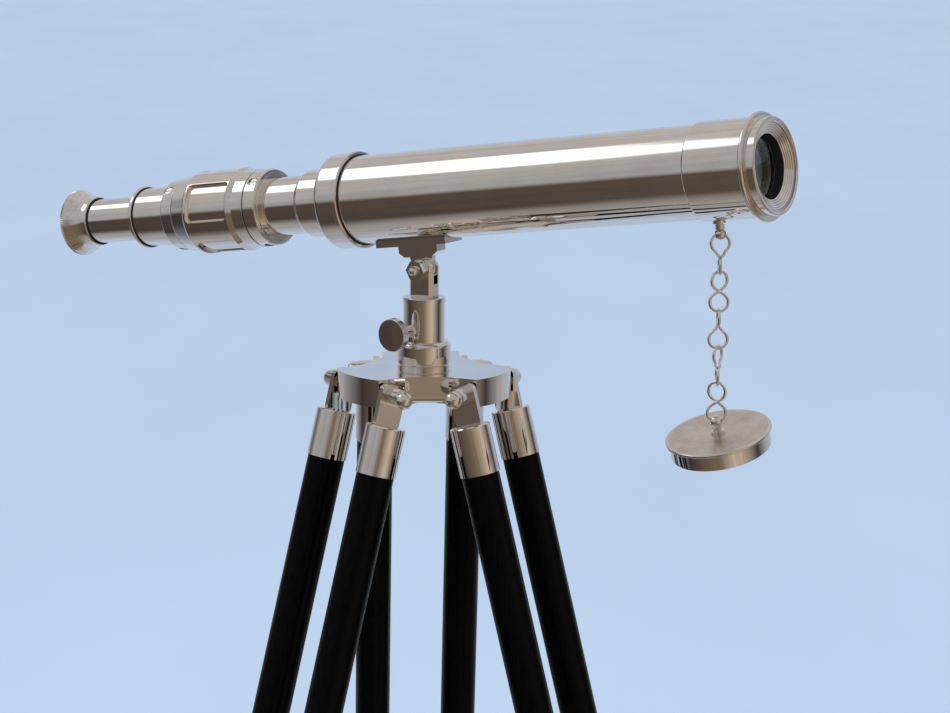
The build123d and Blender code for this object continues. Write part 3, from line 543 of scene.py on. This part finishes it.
def screw_cut(name, body, outline, replaced, station, floor_radius):
    """A turned piece with a flat-bottomed recess at each of the three focuser screws."""
    work = lathe(bmesh.new(), outline, segments=256)
    piece = new_piece(name, work)
    finish(piece, tube_place, body, turned_nickel)
    cutter = bmesh.new()
    for angle in SCREW_ANGLES:
        turn = Matrix.Rotation(math.radians(angle), 4, "X") @ Matrix.Translation((station * MM, 0, 0))
        for radius, low, high in ((3.85, floor_radius, 45.0), (1.75, 20.0, floor_radius + 0.3)):
            bmesh.ops.create_cone(
                cutter, cap_ends=True, segments=40, radius1=radius * MM, radius2=radius * MM,
                depth=(high - low) * MM, matrix=turn @ Matrix.Translation((0, 0, (low + high) / 2 * MM)),
            )
    mesh = bpy.data.meshes.new(name + "_recesses")
    cutter.to_mesh(mesh)
    cutter.free()
    tool = bpy.data.objects.new(name + "_recesses", mesh)
    collection.objects.link(tool)
    tool.matrix_world = tube_place
    cut = piece.modifiers.new("screw recesses", "BOOLEAN")
    cut.operation, cut.solver, cut.object = "DIFFERENCE", "EXACT", tool
    cut.use_self = True
    bpy.context.view_layer.update()
    baked = bpy.data.meshes.new_from_object(piece.evaluated_get(bpy.context.evaluated_depsgraph_get()))
    piece.modifiers.clear()
    piece.data = baked
    baked.materials.clear()
    baked.materials.append(turned_nickel)
    baked.materials.append(BLACK)
    # Painted shade: the walls and floors of the screw recesses get the black material.
    for face in baked.polygons:
        for angle in SCREW_ANGLES:
            turn = math.radians(angle)
            out = Vector((0, -math.sin(turn), math.cos(turn)))
            offset = face.center - Vector((station * MM, 0, 0))
            rise = offset.dot(out)
            if 0 < rise < (floor_radius + 1.6) * MM and (offset - rise * out).length < 3.9 * MM:
                face.material_index = 1
    shade(baked)
    weigh_normals(piece)
    bpy.data.objects.remove(tool)
    for node in replaced:
        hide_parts(node)
    return piece


screw_cut(
    "focus_end_ring_turned", "draw",
    [
        (GRIP_FRONT + 0.45, 23.42), (FOCUSER_FRONT, 23.42), (FOCUSER_FRONT, 26.4, 0.2),
        (FOCUSER_FRONT - 1.0, 26.9),
        (FOCUSER_FRONT - 1.0, 27.5), (FOCUSER_FRONT, 28.0, 0.2), (FOCUSER_FRONT, FOCUS_RING_R, 1.7),
        (GRIP_FRONT + 0.9, FOCUS_RING_R + 0.4), (GRIP_FRONT + 0.45, FOCUS_RING_R),
    ],
    ["focus_end_ring"], -149.0, 29.0,
)
screw_cut(
    "focus_housing_turned", "draw",
    [
        (HOUSING_REAR, 24.06), (GRIP_FRONT + 0.05, 24.06), (GRIP_FRONT + 0.05, 27.0),
        (GRIP_REAR - 0.45, 27.0),
        (GRIP_REAR - 0.45, 29.2), (GRIP_REAR - 0.9, HOUSING_R + 0.7, 0.2), (HOUSING_REAR, HOUSING_R, 1.5),
    ],
    ["focus_housing"], -237.5, 27.0,
)


def dome(vertex, edge, radius, count=14):
    """Points of a spherical lens surface from its edge to its vertex."""
    sag = vertex - edge
    sphere = (radius ** 2 + sag ** 2) / (2 * abs(sag))
    points = []
    for index in range(count + 1):
        height = radius * (1 - index / count)
        drop = sphere - math.sqrt(sphere ** 2 - height ** 2)
        points.append((vertex - drop if sag > 0 else vertex + drop, height))
    return points


turned_piece(
    "crown_lens_ground", "telescope",
    dome(LENS_FRONT, LENS_FRONT - 2.0, LENS_R) + dome(LENS_FRONT - 6.6, LENS_FRONT - 4.0, LENS_R)[::-1],
    ["crown_lens"], material=GLASS, segments=128,
)


def painted_shade_ring(name, body, station, inner_radius, outer_radius, width=0.5):
    """Thin black ring where two turned parts meet: painted shade standing in for the shadow gap between them."""
    half = width / 2
    outline = [
        (station - half, inner_radius), (station + half, inner_radius), (station + half, outer_radius, 0.1),
        (station - half, outer_radius, 0.1),
    ]
    return turned_piece(name, body, outline, material=BLACK, segments=160, steps=2)


# Painted shade: thin black rings at the seams of the eyepiece ring, eye cup, grip ends and rear cap.
painted_shade_ring("eyepiece_ring_painted_shade", "eyepiece", RING_FRONT + 0.3, 23.9, 24.9, 0.7)
painted_shade_ring("eye_cup_painted_shade", "eyepiece", NECK_FRONT + 0.35, EYE_TUBE_R - 0.1, 19.5, 0.7)
painted_shade_ring("grip_front_painted_shade", "draw", GRIP_FRONT + 0.2, 26.9, 30.9, 0.4)
painted_shade_ring("grip_rear_painted_shade", "draw", GRIP_REAR - 0.25, 26.9, 29.0, 0.4)
painted_shade_ring("cap_painted_shade", "telescope", CAP_FRONT + 0.2, BARREL_R - 0.1, 36.0, 0.5)


# ---- knurled knobs ---------------------------------------------------------------------------
def knob(name, body, joint, outline, replaced, ridges, depth, start, end):
    place = placed(joint_point(joint), joint_axis(joint), UP)
    turned_piece(
        name, body, outline, [replaced], place=place, segments=ridges * 4, knurl=(ridges, depth, start, end),
    )


knob(
    "azimuth_lock_knob", "azimuth_screw", "azimuth_screw_turn",
    [
        (12.12, 0), (12.12, 3.0, 0.5), (27.6, 3.0), (27.6, 4.8, 0.6), (34.5, 4.8), (34.5, 12.4, 0.3),
        (34.9, 13.0),
        (40.6, 13.0), (41.0, 12.4, 0.3), (41.15, 9.0), (41.4, 4.0), (41.5, 0),
    ],
    "azimuth_lock_screw", 72, 0.5, 34.8, 40.7,
)
for side in LEGS:
    knob(
        f"{side}_clamp_knob", f"{side}_clamp_screw", f"{side}_clamp_screw_turn",
        [
            (13.7, 0), (13.7, 3.0, 0.5), (25.6, 3.0), (25.6, 5.0, 0.5), (30.0, 5.0), (30.0, 10.5, 0.3),
            (30.4, 11.0),
            (36.6, 11.0), (37.0, 10.5, 0.3), (37.2, 6.0), (37.3, 0),
        ],
        f"{side}_clamp_screw", 60, 0.5, 30.3, 36.7,
    )


# ---- chain -----------------------------------------------------------------------------------
LINK_LENGTH = 4 * LOOP_R - WAIST_OVERLAP
LOOP_CENTRE = 1.18          # from the waist to a loop's centre, in loop radii


def link_path(turn, twist):
    """One wire bent into a figure eight; the lower loop is twisted away from the upper one."""
    radius = LINK_LENGTH / 2 / (1 + LOOP_CENTRE)
    edge = math.acos(1 / LOOP_CENTRE)
    points = []
    for direction, plane in ((1, turn), (-1, turn + twist)):
        across = Vector((math.cos(math.radians(plane)), math.sin(math.radians(plane)), 0))
        count = 30
        for index in range(count + 1):
            angle = edge + (2 * math.pi - 2 * edge) * index / count
            rise = radius * (LOOP_CENTRE - math.cos(angle))
            points.append(across * radius * math.sin(angle) + UP * rise * direction)
    bend = (turn + twist / 2 + 90) if abs(twist) < 90.5 else turn
    aside = Vector((math.cos(math.radians(bend)), math.sin(math.radians(bend)), 0))
    smooth = []
    for index, point in enumerate(points):
        following = points[(index + 1) % len(points)]
        smooth.append(point)
        if (following - point).length > 2.0:
            side = 1 if index < len(points) / 2 else -1
            for part in (0.12, 0.25, 0.38, 0.5, 0.62, 0.75, 0.88):
                away = side * WIRE_R * 0.95 * math.sin(math.pi * part) ** 2
                smooth.append(point.lerp(following, part) + aside * away)
    for _ in range(2):
        smooth = [
            (smooth[index - 1] + 2 * point + smooth[(index + 1) % len(smooth)]) / 4
            for index, point in enumerate(smooth)
        ]
    return [point - UP * LINK_LENGTH / 2 for point in smooth]


def wire_piece(name, path, place, body, material):
    curve = bpy.data.curves.new(name, "CURVE")
    curve.dimensions = "3D"
    curve.bevel_depth = 1.15 * WIRE_R * MM
    curve.bevel_resolution = 5
    spline = curve.splines.new("POLY")
    spline.points.add(len(path) - 1)
    for knot, point in zip(spline.points, path):
        knot.co = (*(point * MM), 1.0)
    spline.use_cyclic_u = True
    holder = bpy.data.objects.new(name + "_path", curve)
    collection.objects.link(holder)
    bpy.context.view_layer.update()
    mesh = bpy.data.meshes.new_from_object(holder.evaluated_get(bpy.context.evaluated_depsgraph_get()))
    bpy.data.objects.remove(holder)
    bpy.data.curves.remove(curve)
    mesh.shade_smooth()
    piece = bpy.data.objects.new(name, mesh)
    collection.objects.link(piece)
    mesh.materials.clear()
    return finish(piece, place, body, material)


for index, (turn, twist) in enumerate(zip(LINK_TURNS, LINK_TWISTS)):
    top = joint_point(f"link_{index + 1}_swing")
    if index:
        top = top + UP * (2 * WIRE_R + LINK_GAP) * MM
    path, place = link_path(turn, twist), Matrix.Translation(top)
    link = wire_piece(f"chain_wire_{index + 1}", path, place, f"link_{index + 1}", chain_nickel)
    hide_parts(f"chain_link_{index + 1}")

# ---- lens lid --------------------------------------------------------------------------------
lid_up = -Vector(mounts["lid_skirt_bore"]["axis"]).normalized()
lid_wire = joint_axis("lid_swing")
lid_y = lid_up.cross(lid_wire).normalized()
lid_place = Matrix((lid_y.cross(lid_up), lid_y, lid_up)).transposed().to_4x4()
lid_mouth = Vector(mounts["lid_skirt_bore"]["pos_m"])
lid_place.translation = lid_mouth + lid_up * (LID_TOP_DROP + LID_DEPTH - 5.0) * MM
lid = turned_piece(
    "lens_lid_turned", "lid",
    [
        (-LID_TOP_DROP, 2.02), (-LID_TOP_DROP, 37.6), (-LID_TOP_DROP - 0.12, 38.1, 0.1),
        (-LID_TOP_DROP, 38.6, 0.1),
        (-LID_TOP_DROP, LID_R, 0.9), (-LID_TOP_DROP - 2.4, LID_R, 0.9), (-LID_TOP_DROP - 2.4, LID_SKIRT_R),
        (-LID_TOP_DROP - LID_DEPTH + 1, LID_SKIRT_R), (-LID_TOP_DROP - LID_DEPTH, LID_SKIRT_R - 0.1, 0.3),
        (-LID_TOP_DROP - LID_DEPTH, LID_SKIRT_BORE_R, 0.3), (-LID_TOP_DROP - 3.8, LID_SKIRT_BORE_R),
        (-LID_TOP_DROP - 3.8, LID_SKIRT_BORE_R + 0.5), (-LID_TOP_DROP - 2.2, LID_SKIRT_BORE_R + 0.5),
        (-LID_TOP_DROP - 2.2, 2.02),
    ],
    ["lens_lid"], material=SATIN, place=lid_place, upright=True, segments=256,
)
lid.data.materials.append(upright_nickel)
for face in lid.data.polygons:
    centre = face.center
    outside_bore = Vector((centre.x, centre.y)).length > (LID_SKIRT_BORE_R - 0.5) * MM
    if outside_bore and centre.z < -(LID_TOP_DROP + 0.05) * MM:
        face.material_index = 1

# ---- stage: camera, floor, light -------------------------------------------------------------
CAMERA_HEADING = 3.98      # degrees clockwise from +Y, seen from above


def camera():
    data = bpy.data.cameras.new("camera")
    data.lens = 102.86
    data.sensor_width = 36.0
    data.clip_end = 200.0
    made = bpy.data.objects.new("camera", data)
    collection.objects.link(made)
    heading, pitch, roll = math.radians(-CAMERA_HEADING), math.radians(10.84), math.radians(0.37)
    forward = Vector((0, math.cos(pitch), -math.sin(pitch)))
    right = Vector((1, 0, 0))
    over = right.cross(forward)
    level_right = math.cos(roll) * right + math.sin(roll) * over
    level_up = math.cos(roll) * over - math.sin(roll) * right
    turn = Matrix.Rotation(heading, 3, "Z")
    rotation = Matrix((turn @ level_right, turn @ level_up, turn @ -forward)).transposed()
    made.matrix_world = rotation.to_4x4()
    made.matrix_world.translation = hub_top + turn @ Vector((0.0401, -2.0951, 0.409))
    bpy.context.scene.camera = made


def floor():
    bpy.ops.mesh.primitive_circle_add(vertices=96, radius=70.0, fill_type="NGON")
    made = bpy.context.object
    made.name = "floor"
    made.visible_glossy = False
    graph = Graph("floor")
    mottle = graph.noise((1, 0.3, 1), 1.5, detail=4.0)
    graph.set(
        Base_Color=graph.ramp(mottle, [(0.3, (0.49, 0.61, 0.78)), (0.7, (0.52, 0.65, 0.82))]),
        Roughness=0.9,
        Specular_IOR_Level=0.1,
    )
    made.data.materials.append(graph.material)


# The studio that the metal mirrors, made up from a few plain colours. A ring runs once round the
# telescope, by bearing from straight behind it, positive to the right. The rings go from the floor
# up, and each one after the first takes over between two elevations.
BACKDROP = (0.5, 0.6, 0.75)
GREY_WALL = (0.4, 0.4, 0.4)
WARM_WALL = (0.6, 0.5, 0.4)
DARK_CORNER = (0.05, 0.04, 0.04)
TABLE = (0.2, 0.15, 0.1)
CEILING = (0.55, 0.52, 0.5)
WINDOW = (1.9, 1.9, 1.9)
WINDOW_BEARING, WINDOW_ELEVATION = -75, 45
RINGS = (
    (None, ((-180, TABLE), (-60, GREY_WALL), (0, BACKDROP), (60, GREY_WALL), (120, TABLE))),
    ((-60, -40), ((-180, TABLE), (-90, DARK_CORNER), (-30, BACKDROP), (30, BACKDROP), (90, TABLE),
                  (150, WARM_WALL))),
    ((-30, -20), ((-180, TABLE), (-90, DARK_CORNER), (-45, GREY_WALL), (0, BACKDROP), (60, GREY_WALL),
                  (90, DARK_CORNER), (135, WARM_WALL))),
    ((-5, 5), ((-180, TABLE), (-150, GREY_WALL), (-90, GREY_WALL), (-60, DARK_CORNER), (-30, BACKDROP),
               (45, BACKDROP), (75, DARK_CORNER), (120, WARM_WALL))),
    ((15, 25), ((-180, GREY_WALL), (0, CEILING))),
)


def studio():
    """The made-up studio that the metal mirrors: the rings, uneven noise and a window on the left."""
    world = bpy.data.worlds.new("studio")
    bpy.context.scene.world = world
    world.use_nodes = True
    tree = world.node_tree
    tree.nodes.clear()

    def node(kind, inputs=(), **settings):
        made = tree.nodes.new(kind)
        for key, value in settings.items():
            setattr(made, key, value)
        for key, value in dict(inputs).items():
            if isinstance(value, bpy.types.NodeSocket):
                tree.links.new(value, made.inputs[key])
            else:
                made.inputs[key].default_value = value
        return made

    def ramp(value, stops):
        """Colours by bearing; the first one also ends the ring, so that it closes."""
        stops = [*stops, (180, stops[0][1])]
        made = node("ShaderNodeValToRGB", {"Fac": value})
        elements = made.color_ramp.elements
        while len(elements) < len(stops):
            elements.new(0.5)
        for element, (degrees, colour) in zip(elements, stops):
            element.position = (degrees + 180) / 360
            element.color = (*colour, 1.0)
        return made.outputs["Color"]

    def mix(amount, first, second):
        made = node("ShaderNodeMix", data_type="RGBA")
        tree.links.new(amount, made.inputs["Factor"])
        for socket, value in ((made.inputs[6], first), (made.inputs[7], second)):
            if isinstance(value, bpy.types.NodeSocket):
                tree.links.new(value, socket)
            else:
                socket.default_value = value
        return made.outputs[2]

    def step(value, low, high):
        inputs = {"Value": value, "From Min": low, "From Max": high}
        return node("ShaderNodeMapRange", inputs, interpolation_type="SMOOTHSTEP").outputs["Result"]

    def maths(operation, first, second=0.0):
        return node("ShaderNodeMath", {0: first, 1: second}, operation=operation).outputs["Value"]

    def near(value, centre, full, none):
        """1 up to full degrees from the centre, fading to 0 at none degrees."""
        away = maths("ABSOLUTE", maths("SUBTRACT", value, math.radians(centre)))
        return step(away, math.radians(none), math.radians(full))

    direction = node("ShaderNodeTexCoord").outputs["Generated"]
    turned = {"Vector": direction, "Angle": math.radians(CAMERA_HEADING)}
    aligned = node("ShaderNodeVectorRotate", turned, rotation_type="Z_AXIS").outputs["Vector"]
    parts = node("ShaderNodeSeparateXYZ", {"Vector": aligned}).outputs
    bearing = maths("ARCTAN2", parts["X"], parts["Y"])
    full_turn = {"Value": bearing, "From Min": -math.pi, "From Max": math.pi}
    around = node("ShaderNodeMapRange", full_turn).outputs["Result"]
    height = maths("ARCSINE", parts["Z"])

    colour = None
    for takeover, stops in RINGS:
        ring = ramp(around, stops)
        if takeover:
            amount = step(height, math.radians(takeover[0]), math.radians(takeover[1]))
            ring = mix(amount, colour, ring)
        colour = ring
    stretch = {0: direction, 1: (1.0, 1.0, 0.3)}
    upright = node("ShaderNodeVectorMath", stretch, operation="MULTIPLY").outputs["Vector"]
    clutter = node("ShaderNodeTexNoise", {"Vector": upright, "Scale": 9.0, "Detail": 6.0, "Roughness": 0.6})
    spread = {"From Min": 0.3, "From Max": 0.7, "To Min": 0.85, "To Max": 1.15}
    shade = node("ShaderNodeMapRange", {"Value": clutter.outputs["Fac"], **spread}).outputs["Result"]
    colour = node("ShaderNodeVectorMath", {0: colour, 1: shade}, operation="MULTIPLY").outputs["Vector"]
    inside = maths("MULTIPLY", near(bearing, WINDOW_BEARING, 15, 25), near(height, WINDOW_ELEVATION, 5, 9))
    colour = mix(inside, colour, (*WINDOW, 1.0))

    path = node("ShaderNodeLightPath").outputs
    plain = node("ShaderNodeBackground", {"Color": (0.95, 0.97, 1.0, 1.0), "Strength": 1.0})
    seen = node("ShaderNodeBackground", {"Color": (0.5, 0.63, 0.8, 1.0), "Strength": 1.0})
    mirrored = node("ShaderNodeBackground", {"Color": colour, "Strength": 1.0})
    camera_ray, glossy_ray = path["Is Camera Ray"], path["Is Glossy Ray"]
    first = node("ShaderNodeMixShader", {0: camera_ray, 1: plain.outputs[0], 2: seen.outputs[0]})
    both = node("ShaderNodeMixShader", {0: glossy_ray, 1: first.outputs[0], 2: mirrored.outputs[0]})
    output = node("ShaderNodeOutputWorld")
    tree.links.new(both.outputs[0], output.inputs["Surface"])


def area_light(name, bearing, elevation, distance, size, power, colour):
    aim = hub_top + Vector((0, 0, 0.1))
    turn = Matrix.Rotation(math.radians(-CAMERA_HEADING - bearing), 3, "Z")
    rise = math.radians(elevation)
    away = turn @ Vector((0, math.cos(rise), math.sin(rise)))
    data = bpy.data.lights.new(name, "AREA")
    data.energy, data.size, data.color = power, size, colour
    made = bpy.data.objects.new(name, data)
    collection.objects.link(made)
    made.location = aim + away * distance
    made.rotation_euler = away.to_track_quat("Z", "Y").to_euler()
    made.visible_glossy = False


camera()
floor()
studio()
area_light("key", -74, 50, 3.0, 1.6, 24.0, (1.0, 0.98, 0.95))
area_light("fill", 130, 25, 3.0, 1.8, 8.0, (1.0, 0.86, 0.7))
bpy.context.scene.view_settings.view_transform = "Standard"
